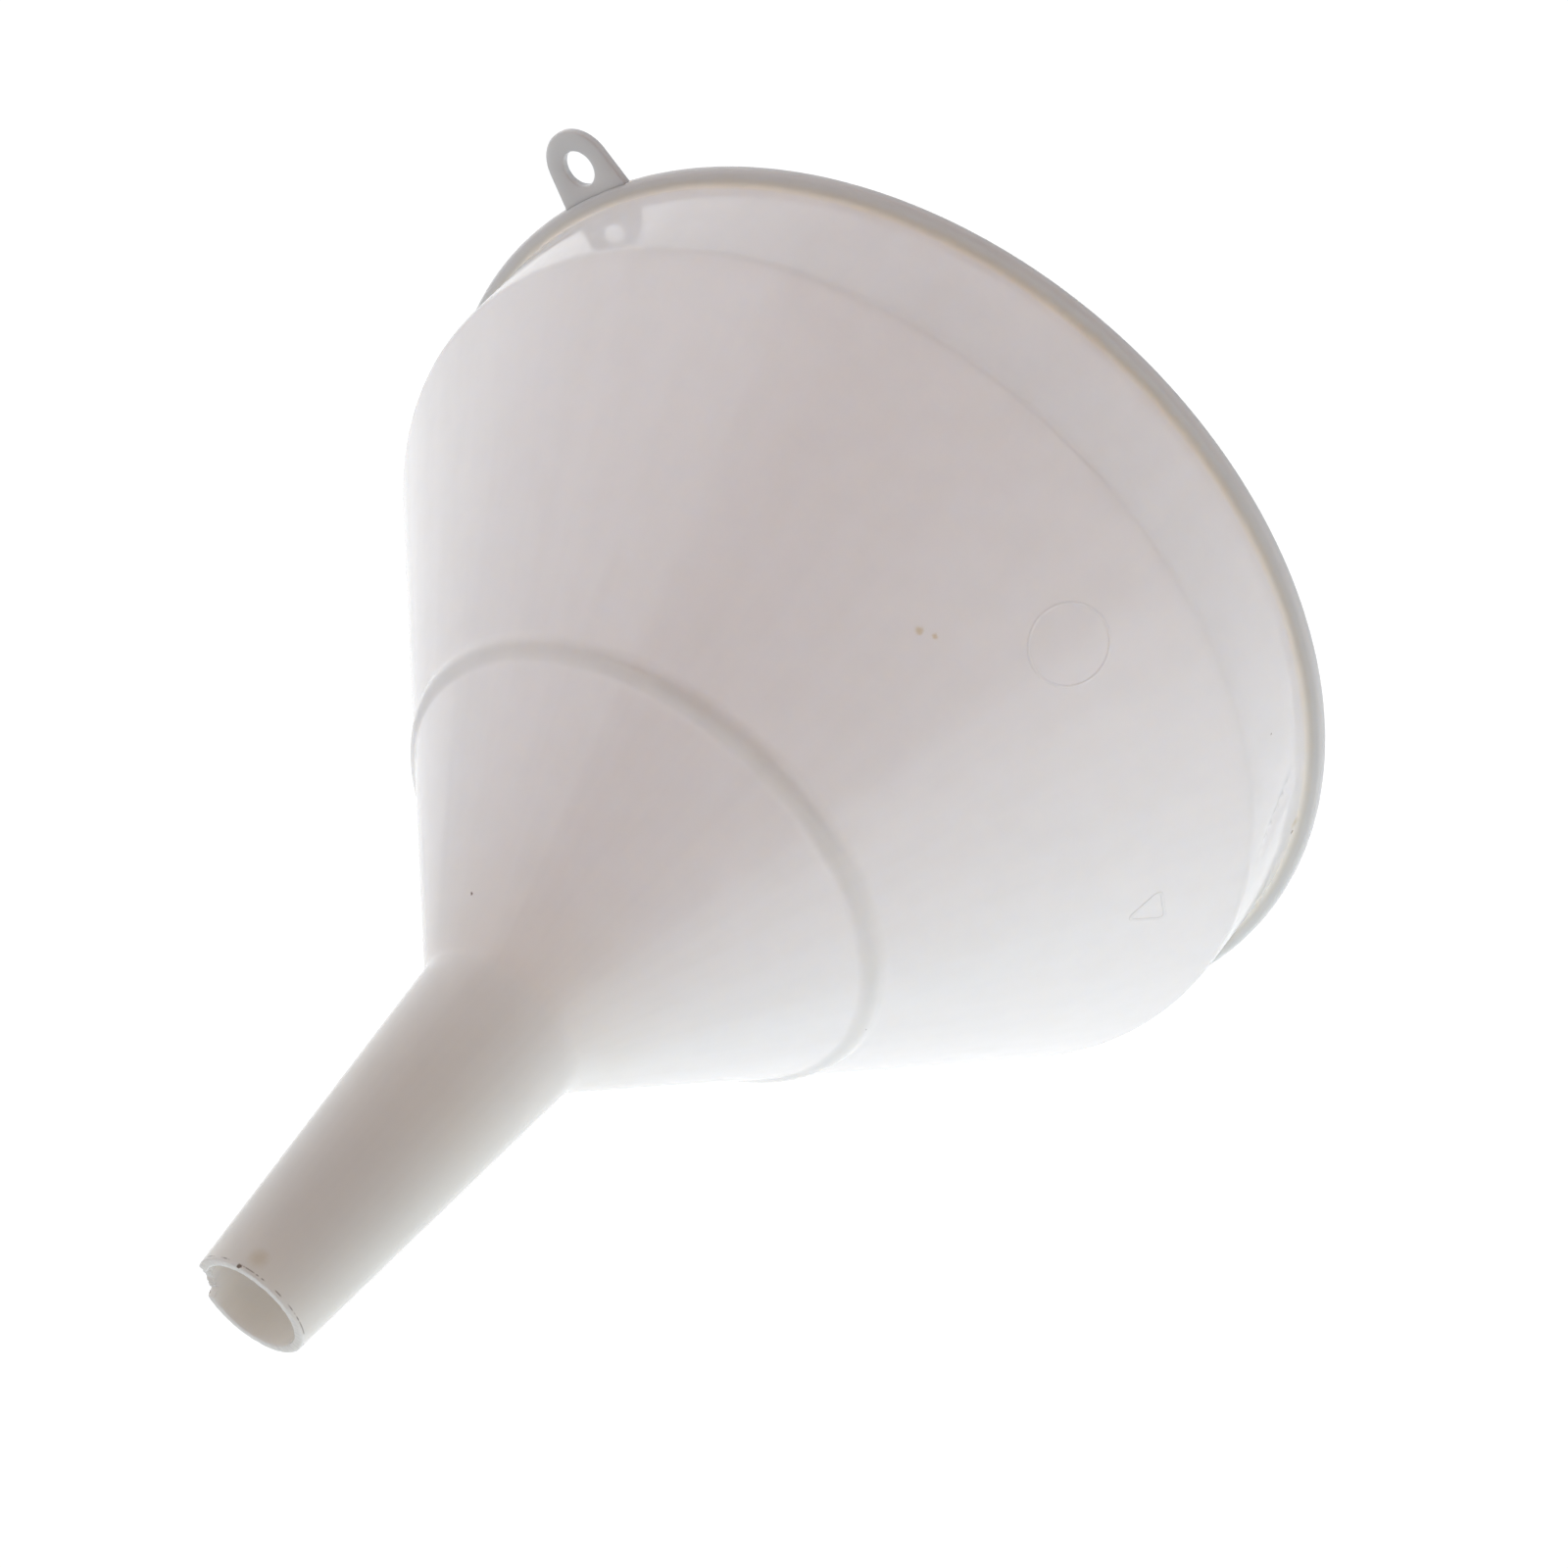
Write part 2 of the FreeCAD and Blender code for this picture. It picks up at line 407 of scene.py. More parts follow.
def add_node(tree, kind, settings=None, inputs=None):
    """Adds a node. Inputs are values, or output sockets to link from."""
    node = tree.nodes.new(kind)
    for key, value in (settings or {}).items():
        setattr(node, key, value)
    for key, value in (inputs or {}).items():
        if isinstance(value, bpy.types.NodeSocket):
            tree.links.new(value, node.inputs[key])
        else:
            node.inputs[key].default_value = value
    return node


def between(tree, value, low, high, soft_low, soft_high):
    """1 where a value lies between low and high, with soft edges of the given widths."""
    rise = add_node(
        tree,
        "ShaderNodeMapRange",
        {"interpolation_type": "SMOOTHSTEP"},
        {"Value": value, "From Min": low - soft_low / 2, "From Max": low + soft_low / 2},
    )
    fall = add_node(
        tree,
        "ShaderNodeMapRange",
        {"interpolation_type": "SMOOTHSTEP"},
        {
            "Value": value,
            "From Min": high - soft_high / 2,
            "From Max": high + soft_high / 2,
            "To Min": 1.0,
            "To Max": 0.0,
        },
    )
    both = add_node(
        tree,
        "ShaderNodeMath",
        PRODUCT,
        {0: rise.outputs["Result"], 1: fall.outputs["Result"]},
    )
    return both.outputs[0]


# Dirt specks on the outside: azimuth in degrees, height, radius and how dark each is.
SPECKS = (
    (-26.2, 80.2 * MM, 0.30 * MM, 0.9),
    (-9.4, 115.5 * MM, 0.30 * MM, 0.9),
    (-142.0, 81.1 * MM, 0.30 * MM, 0.8),
    (-109.6, 15.0 * MM, 0.25 * MM, 0.5),
    (-129.1, 3.4 * MM, 0.60 * MM, 0.9),
    (-33.6, 189.9 * MM, 0.55 * MM, 0.9),
    (84.1, 189.9 * MM, 0.60 * MM, 0.9),
    (76.4, 189.4 * MM, 0.45 * MM, 0.8),
)
# Faint stains: azimuth in degrees, height, radius and strength.
STAINS = (
    (-43.0, 187.3 * MM, 2.2 * MM, 0.4),
    (-127.6, 3.6 * MM, 1.6 * MM, 0.6),
    (-71.6, 55.0 * MM, 1.1 * MM, 0.5),
    (-73.6, 54.0 * MM, 0.7 * MM, 0.6),
)

# Widths of the plastic's patterns.
MOTTLE = 6 * MM
STREAKS_ROUND = 14.0  # about 4 mm between streaks half way up the cone
STREAK_LENGTH = 60 * MM
HANDLED = 15 * MM
WAVES = 9 * MM
GRAIN = 0.7 * MM  # the mould's grain is about 0.1 mm, coarsened so that it shows
SPOT_EDGE = 0.6 * MM
SPOT_WANDER = 0.7 * MM
# Where the plastic has yellowed: the fillet's heights and radii, and the start of the spout.
FILLET_HEIGHTS = (2.1 * MM, 3.3 * MM)
FILLET_RADII = (96.3 * MM, 98.3 * MM)
POURED_HEIGHTS = (105 * MM, 150 * MM)
# The painted shadow line under the lip, measured down from the lip, and the outlet's radii that it lies
# between.
LIP_LINE = (0.7 * MM, 0.5 * MM)
LIP_SIDES = (-0.3 * MM, 0.8 * MM)
DASHES_ROUND = 5.0
# Noise values taken as the lowest and highest: of the density, and of the handling.
DENSITY_SPAN = (0.15, 0.38)
HANDLED_SPAN = (0.3, 0.7)


def moulded_polypropylene(finish, shell):
    """Natural polypropylene, injection moulded in a polished mould.

    To the eye it is milky and lets light through the wall, with a soft gloss, faint flow streaks up the
    walls, a slightly yellowed spout and rim fillet, specks of dirt from use, and a painted shadow line under
    the lip."""
    material = bpy.data.materials.get("moulded_polypropylene")
    if material:
        return material
    material = bpy.data.materials.new("moulded_polypropylene")
    material.use_nodes = True
    tree = material.node_tree
    tree.nodes.clear()
    place = add_node(tree, "ShaderNodeTexCoord").outputs["Object"]
    axes = add_node(tree, "ShaderNodeSeparateXYZ", None, {0: place}).outputs
    height = axes["Z"]
    flat = add_node(tree, "ShaderNodeCombineXYZ", None, {"X": axes["X"], "Y": axes["Y"]})
    radius = add_node(
        tree, "ShaderNodeVectorMath", {"operation": "LENGTH"}, {0: flat.outputs[0]}
    ).outputs["Value"]
    around = add_node(
        tree, "ShaderNodeVectorMath", {"operation": "NORMALIZE"}, {0: flat.outputs[0]}
    ).outputs[0]

    # Mottling and flow streaks in the plastic's density.
    mottle = add_node(
        tree, "ShaderNodeTexNoise", None, {"Vector": place, "Scale": 1 / MOTTLE, "Detail": 3.0}
    ).outputs["Fac"]
    slow_height = add_node(tree, "ShaderNodeMath", PRODUCT, {0: height, 1: 1 / STREAK_LENGTH}).outputs[0]
    lift = add_node(tree, "ShaderNodeCombineXYZ", None, {"Z": slow_height}).outputs[0]
    run = add_node(
        tree,
        "ShaderNodeVectorMath",
        {"operation": "MULTIPLY_ADD"},
        {0: around, 1: (STREAKS_ROUND,) * 3, 2: lift},
    ).outputs[0]
    streak = add_node(
        tree, "ShaderNodeTexNoise", None, {"Vector": run, "Scale": 1.0, "Detail": 2.0}
    ).outputs["Fac"]
    density = add_node(tree, "ShaderNodeMath", PRODUCT, {0: mottle, 1: streak}).outputs[0]
    density = add_node(
        tree,
        "ShaderNodeMapRange",
        None,
        {"Value": density, "From Min": DENSITY_SPAN[0], "From Max": DENSITY_SPAN[1]},
    ).outputs["Result"]
    colour = add_node(
        tree, "ShaderNodeMix", COLOURS, {0: density, 6: (*finish.plastic, 1.0), 7: (*finish.flow, 1.0)}
    ).outputs[2]

    # The spout has yellowed a little from what was poured through it.
    poured = add_node(
        tree,
        "ShaderNodeMapRange",
        None,
        {
            "Value": height,
            "From Min": POURED_HEIGHTS[0],
            "From Max": POURED_HEIGHTS[1],
            "To Max": finish.pouring,
        },
    ).outputs["Result"]
    colour = add_node(
        tree, "ShaderNodeMix", COLOURS, {0: poured, 6: colour, 7: (*finish.aged, 1.0)}
    ).outputs[2]

    # Yellowed plastic in the fillet between rim and collar.
    low_down = between(tree, height, *FILLET_HEIGHTS, 0.5 * MM, 0.9 * MM)
    at_foot = between(tree, radius, *FILLET_RADII, 0.6 * MM, 0.8 * MM)
    yellow = add_node(tree, "ShaderNodeMath", PRODUCT, {0: low_down, 1: at_foot}).outputs[0]
    yellow = add_node(tree, "ShaderNodeMath", PRODUCT, {0: yellow, 1: finish.ageing}).outputs[0]
    colour = add_node(
        tree, "ShaderNodeMix", COLOURS, {0: yellow, 6: colour, 7: (*finish.aged, 1.0)}
    ).outputs[2]

    # Specks and stains with uneven outlines.
    wander = add_node(
        tree, "ShaderNodeTexNoise", None, {"Vector": place, "Scale": 1 / SPOT_EDGE, "Detail": 2.0}
    ).outputs["Color"]
    uneven = add_node(
        tree,
        "ShaderNodeVectorMath",
        {"operation": "MULTIPLY_ADD"},
        {0: wander, 1: (SPOT_WANDER,) * 3, 2: place},
    ).outputs[0]
    half_wander = Vector((SPOT_WANDER / 2,) * 3)
    for spots, paint, blur in ((STAINS, finish.stain, 0.9), (SPECKS, finish.dirt_and_shadow, 0.5)):
        for azimuth, spot_height, size, strength in spots:
            middle = on_wall(shell, spot_height, math.radians(azimuth)) + half_wander
            gap = add_node(
                tree, "ShaderNodeVectorMath", {"operation": "DISTANCE"}, {0: uneven, 1: middle}
            ).outputs["Value"]
            share = add_node(
                tree,
                "ShaderNodeMapRange",
                {"interpolation_type": "SMOOTHSTEP"},
                {
                    "Value": gap,
                    "From Min": size * (1 - blur),
                    "From Max": size,
                    "To Min": strength,
                    "To Max": 0.0,
                },
            ).outputs["Result"]
            colour = add_node(
                tree, "ShaderNodeMix", COLOURS, {0: share, 6: colour, 7: (*paint, 1.0)}
            ).outputs[2]

    # Broken line of painted shadow under the worn lip, about 0.2 mm wide, in the specks' dark colour.
    soft = 0.1 * MM
    lip_low, lip_high = (shell.height - down for down in LIP_LINE)
    side_in, side_out = (shell.outlet_radius + off for off in LIP_SIDES)
    lip = between(tree, height, lip_low, lip_high, soft, soft)
    outside = between(tree, radius, side_in, side_out, soft, soft)
    breaks = add_node(
        tree, "ShaderNodeTexNoise", None, {"Vector": around, "Scale": DASHES_ROUND, "Detail": 2.0}
    ).outputs["Fac"]
    breaks = between(tree, breaks, 0.5, 2.0, 0.1, 0.1)
    line = add_node(tree, "ShaderNodeMath", PRODUCT, {0: lip, 1: outside}).outputs[0]
    line = add_node(tree, "ShaderNodeMath", PRODUCT, {0: line, 1: breaks}).outputs[0]
    line = add_node(tree, "ShaderNodeMath", PRODUCT, {0: line, 1: finish.lip_shadow}).outputs[0]
    colour = add_node(
        tree, "ShaderNodeMix", COLOURS, {0: line, 6: colour, 7: (*finish.dirt_and_shadow, 1.0)}
    ).outputs[2]

    # Gloss varies where the funnel has been handled and scrubbed.
    handled = add_node(
        tree, "ShaderNodeTexNoise", None, {"Vector": place, "Scale": 1 / HANDLED, "Detail": 4.0}
    ).outputs["Fac"]
    roughness = add_node(
        tree,
        "ShaderNodeMapRange",
        None,
        {
            "Value": handled,
            "From Min": HANDLED_SPAN[0],
            "From Max": HANDLED_SPAN[1],
            "To Min": finish.gloss_low,
            "To Max": finish.gloss_high,
        },
    ).outputs["Result"]
    # The mould's grain, and the slow waves of the moulded surface.
    grain = add_node(
        tree, "ShaderNodeTexNoise", None, {"Vector": place, "Scale": 1 / GRAIN, "Detail": 2.0}
    ).outputs["Fac"]
    grain_bump = add_node(
        tree,
        "ShaderNodeBump",
        None,
        {"Height": grain, "Strength": 0.12, "Distance": 0.02 * MM},
    ).outputs["Normal"]
    waves = add_node(
        tree, "ShaderNodeTexNoise", None, {"Vector": place, "Scale": 1 / WAVES, "Detail": 1.0}
    ).outputs["Fac"]
    bump = add_node(
        tree,
        "ShaderNodeBump",
        None,
        {"Height": waves, "Strength": 0.35, "Distance": 0.12 * MM, "Normal": grain_bump},
    ).outputs["Normal"]
    shader = add_node(
        tree,
        "ShaderNodeBsdfPrincipled",
        {"subsurface_method": "RANDOM_WALK"},
        {
            "Base Color": colour,
            "IOR": 1.49,
            "Roughness": roughness,
            "Normal": bump,
            "Subsurface Weight": 1.0,
            "Subsurface Radius": (1.0, 0.96, 0.9),
            "Subsurface Scale": finish.translucency,
        },
    )
    add_node(tree, "ShaderNodeOutputMaterial", None, {"Surface": shader.outputs[0]})
    return material


# ---- Shell ----
FOOT, COLLAR, THROAT, OUTLET = 3, 4, 7, 8  # places of these corners in the section below


def shell_corners(s):
    """The shell's section, from the mouth's inner edge out, up and back down inside.

    Gives its corners, the bead's middle and the direction up the cone."""
    foot = Vector((s.foot_radius, s.rim_thickness))
    up_collar = up_wall(s.collar_draft)
    up_cone = up_wall(s.cone_half)
    up_spout = up_wall(s.spout_half)
    outlet = Vector((s.outlet_radius, s.height))
    collar = foot + up_collar * ((s.collar_height - foot.y) / up_collar.y)
    throat = meet(collar, up_cone, outlet, up_spout)
    bead = collar.lerp(throat, s.bead_place)
    bead_low = bead - up_cone * (s.bead_width / 2)
    bead_high = bead + up_cone * (s.bead_width / 2)

    foot_in = foot - off_wall(s.collar_draft) * s.wall
    cone_in = collar - off_wall(s.cone_half) * s.wall
    spout_in = outlet - off_wall(s.spout_half) * s.wall
    collar_in = meet(foot_in, up_collar, cone_in, up_cone)
    throat_in = meet(cone_in, up_cone, spout_in, up_spout)
    level = Vector((1, 0))
    mouth_in = meet(foot_in, up_collar, Vector((0, 0)), level)
    outlet_in = meet(spout_in, up_spout, outlet, level)

    # Rounding of the two inner edges, and three spacings of the section's points.
    mouth_round = 0.2 * MM
    outlet_round = 0.25 * MM
    fine = 0.35 * MM
    medium = 1.5 * MM
    coarse = 3 * MM
    return [
        (mouth_in, mouth_round, medium),
        (Vector((s.mouth_radius, 0)), s.rim_round, fine),
        (Vector((s.mouth_radius, s.rim_thickness)), s.rim_round, fine),
        (foot, s.rim_fillet, medium),
        (collar, s.shoulder_round, medium),
        (bead_low, 0, fine),
        (bead_high, 0, medium),
        (throat, s.throat_round, medium),
        (outlet, s.lip_round, fine),
        (outlet_in, outlet_round, medium),
        (throat_in, s.throat_round + s.wall, coarse),
        (collar_in, s.shoulder_round - s.wall, coarse),
    ], bead, up_cone


def on_wall(s, height, azimuth):
    """Place on the shell's outside at a height and azimuth."""
    corners, bead, _ = shell_corners(s)
    line = [corners[k][0] for k in (FOOT, COLLAR, THROAT, OUTLET)]
    radius = line[0].x
    for low, high in zip(line, line[1:]):
        if low.y <= height <= high.y:
            radius = low.x + (high.x - low.x) * (height - low.y) / (high.y - low.y)
    if height > line[-1].y:
        radius = line[-1].x
    if abs(height - bead.y) < 2 * MM:
        radius += s.bead_height
    return Vector((radius * math.cos(azimuth), radius * math.sin(azimuth), height))


def bead_lift(s, along):
    """Height of the bead's section, a ridge with soft feet, this far along the cone from its middle."""
    share = min(1.0, abs(along) / (s.bead_width / 2))
    return s.bead_height * (1 + math.cos(math.pi * share)) / 2


# Chip in the lip: azimuths of its start and end and how far each slopes, in degrees.
CHIP_FROM = 32.4
CHIP_TO = 79.4
CHIP_SLOPES = (7.0, 5.0)
# How often the lip's height changes on the way round: long dips, small nicks, the chip's floor.
DIPS = 9.0
NICKS = 34.0
CHIP_RAGGED = 40.0
# Knock in the collar: two (height, azimuth) ends and its half width.
KNOCK_LOW = (8.0 * MM, math.radians(-118.2))
KNOCK_HIGH = (18.9 * MM, math.radians(-124.5))
KNOCK_HALF = 1.0 * MM
# How far down the spout the lip's wear reaches, and how deep into the collar the knock does.
WORN = 6 * MM
OUTSIDE = 3 * MM


def lip_wear(s, azimuth):
    """How far the worn lip lies below its moulded height at an azimuth."""
    around = Vector((math.cos(azimuth), math.sin(azimuth), 0))
    nicks = 0.5 + 0.5 * noise.noise(around * DIPS)
    nicks += 0.6 * max(0.0, noise.noise(around * NICKS))
    degrees = math.degrees(azimuth) % 360
    edge = min((degrees - CHIP_FROM) / CHIP_SLOPES[0], (CHIP_TO - degrees) / CHIP_SLOPES[1])
    ragged = 0.8 + 0.35 * noise.noise(around * CHIP_RAGGED + Vector((3, 1, 0)))
    return s.lip_nicks * nicks * 0.6 + s.lip_chip * smooth(edge) * ragged


def knock(s, height, azimuth):
    """Depth of the knock in the collar at a place."""
    low_h, low_a = KNOCK_LOW
    high_h, high_a = KNOCK_HIGH
    here = Vector((height - low_h, (azimuth - low_a) * s.foot_radius))
    line = Vector((high_h - low_h, (high_a - low_a) * s.foot_radius))
    share = min(1.0, max(0.0, here.dot(line) / line.length_squared))
    gap = (here - line * share).length
    return s.crease * math.exp(-((gap / KNOCK_HALF) ** 2)) * math.sin(math.pi * (0.15 + 0.7 * share))


class FUNNEL_OT_shell(bpy.types.Operator):
    """Build the shell: rim, collar, cone, bead and spout, moulded as one wall"""

    bl_idname = "funnel.build_shell"
    bl_label = "Moulded Shell"

    def execute(self, context):
        s = context.scene.funnel_shell
        corners, bead, up_cone = shell_corners(s)
        off_cone = off_wall(s.cone_half)
        path = rounded_path(corners)
        lip_top = s.height - WORN
        bm = bmesh.new()
        rings = []
        for place in path:
            along = (place - bead).dot(up_cone)
            off = (place - bead).dot(off_cone)
            if abs(off) < 0.01 * MM:
                place = place + off_cone * bead_lift(s, along)
            outside = place.x > s.foot_radius - OUTSIDE
            ring = []
            for k in range(s.segments):
                azimuth = 2 * math.pi * k / s.segments
                radius = place.x
                height = place.y
                if height > lip_top:
                    share = (height - lip_top) / (s.height - lip_top)
                    height -= lip_wear(s, azimuth) * share * share
                if outside and s.rim_thickness + MM < height < s.collar_height:
                    signed = azimuth - 2 * math.pi if azimuth > math.pi else azimuth
                    radius -= knock(s, height, signed)
                ring.append(bm.verts.new((
                    radius * math.cos(azimuth),
                    radius * math.sin(azimuth),
                    height,
                )))
            rings.append(ring)
        skin_rings(bm, rings)
        finish = moulded_polypropylene(context.scene.funnel_finish, context.scene.funnel_shell)
        new_piece("funnel_shell", bm, finish, SHELL_NODES)
        return {"FINISHED"}


# ---- Hanging tab ----
class FUNNEL_OT_tab(bpy.types.Operator):
    """Build the hanging tab: a flat loop with a hole, level with the rim"""

    bl_idname = "funnel.build_tab"
    bl_label = "Hanging Tab"

    def execute(self, context):
        s = context.scene.funnel_tab
        shell = context.scene.funnel_shell
        loop = s.hole / 2 + s.edge
        centre = s.reach - loop
        root = shell.foot_radius
        far = math.hypot(centre - root, s.root_width / 2)
        lean = math.atan2(s.root_width / 2, centre - root)
        tangent = math.pi - lean - math.acos(loop / far)

        def outline(angle, inset):
            """Distance from the hole's centre to the tab's outline, moved inwards by inset."""
            turn = abs(angle)
            if turn <= tangent:
                return loop - inset
            reach = (loop - inset) / max(1e-6, math.cos(turn - tangent))
            if math.cos(turn) < 0:
                reach = min(reach, (centre - root) / -math.cos(turn))
            return reach

        low = s.low
        high = s.low + s.thickness
        bore = s.hole / 2
        soft = 0.25 * MM
        # Section from the hole's top edge over the top, round the rim and back underneath. Each
        # point is (kind, value, height): the value is a distance out from the hole, a share of the
        # way across or an inset from the outline.
        section = []
        for j in range(5):
            a = math.pi / 2 * j / 4
            lift = soft * math.sin(a)
            section.append(("hole", soft * (1 - math.cos(a)), high - soft + lift))
        section.append(("mid", 0.5, high))
        for j in range(6):
            a = math.pi / 2 * j / 5
            inset = s.round_edge * (1 - math.sin(a))
            section.append(("rim", inset, high - s.round_edge * (1 - math.cos(a))))
        for j in range(6):
            a = math.pi / 2 * j / 5
            inset = s.round_edge * (1 - math.cos(a))
            section.append(("rim", inset, low + s.round_edge * (1 - math.sin(a))))
        section.append(("mid", 0.5, low))
        for j in range(5):
            a = math.pi / 2 * j / 4
            section.append(("hole", soft * (1 - math.sin(a)), low + soft * (1 - math.cos(a))))

        bm = bmesh.new()
        rings = []
        for kind, value, height in section:
            ring = []
            for k in range(s.segments):
                angle = -math.pi + 2 * math.pi * k / s.segments
                if kind == "hole":
                    reach = bore + value
                elif kind == "rim":
                    reach = outline(angle, value)
                else:
                    reach = bore + (outline(angle, s.round_edge) - bore) * value
                ring.append(bm.verts.new((
                    centre + reach * math.cos(angle),
                    reach * math.sin(angle),
                    height,
                )))
            rings.append(ring)
        skin_rings(bm, rings)
        finish = moulded_polypropylene(context.scene.funnel_finish, context.scene.funnel_shell)
        new_piece("hanging_tab", bm, finish, ("hang_tab",))
        return {"FINISHED"}


# ---- Relief marks ----
def cone_frame(s, share, azimuth):
    """Origin, across, up and outward directions on the cone, this share of the way up it."""
    corners, _, up_cone = shell_corners(s)
    collar = corners[COLLAR][0]
    throat = corners[THROAT][0]
    flat = collar.lerp(throat, share)
    out = Vector((math.cos(azimuth), math.sin(azimuth), 0))
    across = Vector((-math.sin(azimuth), math.cos(azimuth), 0))
    up = out * up_cone.x + Vector((0, 0, up_cone.y))
    off = off_wall(s.cone_half)
    return out * flat.x + Vector((0, 0, flat.y)), across, up, out * off.x + Vector((0, 0, off.y))


def drop_to_cone(s, place, outward):
    """Moves a place along the mark's outward direction on to the cone."""
    collar = shell_corners(s)[0][COLLAR][0]
    for _ in range(4):
        flat = Vector((math.hypot(place.x, place.y), place.z)) - collar
        place = place - outward * flat.dot(off_wall(s.cone_half))
    return place


def relief_line(bm, s, marks, spot, line, width):
    """Rounded ridge along a closed line of (place, sideways) pairs drawn flat on the cone."""
    origin, across, up, outward = spot
    section = [(-0.5, 0.0), (-0.42, 0.55), (-0.27, 0.9), (0.0, 1.0), (0.27, 0.9), (0.42, 0.55), (0.5, 0.0)]
    rings = []
    for flat, side in line:
        ring = []
        for aside, lift in section:
            p = flat + side * (aside * width)
            on_cone = drop_to_cone(s, origin + across * p.x + up * p.y, outward)
            height = lift * marks.relief - (marks.sunk if lift == 0 else 0)
            ring.append(bm.verts.new(on_cone + outward * height))
        rings.append(ring)
    skin_rings(bm, rings)


def round_line(diameter, count):
    """Circle as (place, sideways) pairs."""
    line = []
    for k in range(count):
        a = 2 * math.pi * k / count
        side = Vector((math.cos(a), math.sin(a)))
        line.append((side * (diameter / 2), side))
    return line


def triangle_line(side, corner, turn):
    """Triangle with rounded corners as (place, sideways) pairs."""
    reach = side / math.sqrt(3) - 2 * corner
    line = []
    for k in range(3):
        middle_angle = turn + 2 * math.pi * k / 3
        middle = Vector((math.cos(middle_angle), math.sin(middle_angle))) * reach
        for j in range(13):
            a = middle_angle + math.radians(120) * (j / 12 - 0.5)
            out = Vector((math.cos(a), math.sin(a)))
            line.append((middle + out * corner, out))
        next_angle = middle_angle + 2 * math.pi / 3
        ahead = Vector((math.cos(next_angle), math.sin(next_angle))) * reach
        out = Vector((math.cos(middle_angle + math.pi / 3), math.sin(middle_angle + math.pi / 3)))
        for j in range(1, 16):
            line.append((middle.lerp(ahead, j / 16) + out * corner, out))
    return line


ROUND_SHARE = 0.17
ROUND_AZIMUTH = math.radians(-85.4)
TRIANGLE_SHARE = 0.152
TRIANGLE_AZIMUTH = math.radians(-127.1)
TRIANGLE_TURN = math.radians(104.0)
TRIANGLE_CORNER = 0.9 * MM


class FUNNEL_OT_marks(bpy.types.Operator):
    """Raise the two plain relief marks on the shell's cone: a ring and a triangle"""

    bl_idname = "funnel.build_marks"
    bl_label = "Relief Marks"

    def execute(self, context):
        s = context.scene.funnel_shell
        marks = context.scene.funnel_marks
        bm = bmesh.new()
        spot = cone_frame(s, ROUND_SHARE, ROUND_AZIMUTH)
        line = round_line(marks.round_diameter - marks.round_line, 144)
        relief_line(bm, s, marks, spot, line, marks.round_line)
        spot = cone_frame(s, TRIANGLE_SHARE, TRIANGLE_AZIMUTH)
        line = triangle_line(marks.triangle_side, TRIANGLE_CORNER, TRIANGLE_TURN)
        relief_line(bm, s, marks, spot, line, marks.triangle_line)
        bmesh.ops.recalc_face_normals(bm, faces=bm.faces)
        mesh = bpy.data.meshes.new("relief")
        bm.to_mesh(mesh)
        bm.free()
        relief = bpy.data.objects.new("relief", mesh)
        context.scene.collection.objects.link(relief)

        # One wall with the shell, so that light passes between them as in the moulding.
        shell = bpy.data.objects["funnel_shell"]
        union = shell.modifiers.new("relief", "BOOLEAN")
        union.operation = "UNION"
        union.solver = "EXACT"
        union.object = relief
        context.view_layer.update()
        moulded = bpy.data.meshes.new_from_object(shell.evaluated_get(context.evaluated_depsgraph_get()))
        shell.modifiers.clear()
        plain = shell.data
        shell.data = moulded
        moulded.name = "funnel_shell"
        bpy.data.meshes.remove(plain)
        bpy.data.objects.remove(relief)
        moulded.set_sharp_from_angle(angle=math.radians(28))
        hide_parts("mark_roundel", "mark_triangle")
        return {"FINISHED"}


# ---- Stage ----
# Azimuths where the studio's sides meet, in degrees, and the slim gap at the shade's edge.
# The tab's side fills what the others leave.
SHADE_FROM = -106.6
SHADE_TO = -6.2
STRIP_FROM = -12.1
STRIP_TO = -9.6
BACK_FROM = 60.0
WINDOW_FROM = 130.0
WINDOW_TO = -118.0
# Elevations, in degrees, under which the board's light takes over and above which it is dark.
LOW_TO = -18.0
OVERHEAD_FROM = 55.0
OPEN = 400.0  # past any angle, where a zone has no edge
FLOOR_GAP = 0.2 * MM  # keeps the floor off the mouth face
MOUTH_GLOW = 190 * MM  # the mouth light's diameter
GLOW_HEIGHT = 1 * MM
SENSOR = 36  # mm


def lit_board(s):
    """Pale translucent board, lit from below: an even white with a slight cloudiness."""
    board = bpy.data.materials.new("lit_board")
    board.use_nodes = True
    tree = board.node_tree
    tree.nodes.clear()
    place = add_node(tree, "ShaderNodeTexCoord").outputs["Object"]
    cloud = add_node(tree, "ShaderNodeTexNoise", None, {"Vector": place, "Scale": 3.0}).outputs["Fac"]
    roughness = add_node(
        tree, "ShaderNodeMapRange", None, {"Value": cloud, "To Min": 0.6, "To Max": 0.9}
    ).outputs["Result"]
    shader = add_node(
        tree,
        "ShaderNodeBsdfPrincipled",
        None,
        {
            "Base Color": (*s.floor_colour, 1.0),
            "Roughness": roughness,
            "Specular IOR Level": 0.2,
            "Emission Color": (1.0, 1.0, 1.0, 1.0),
            "Emission Strength": s.floor_glow,
        },
    )
    add_node(tree, "ShaderNodeOutputMaterial", None, {"Surface": shader.outputs[0]})
    return board


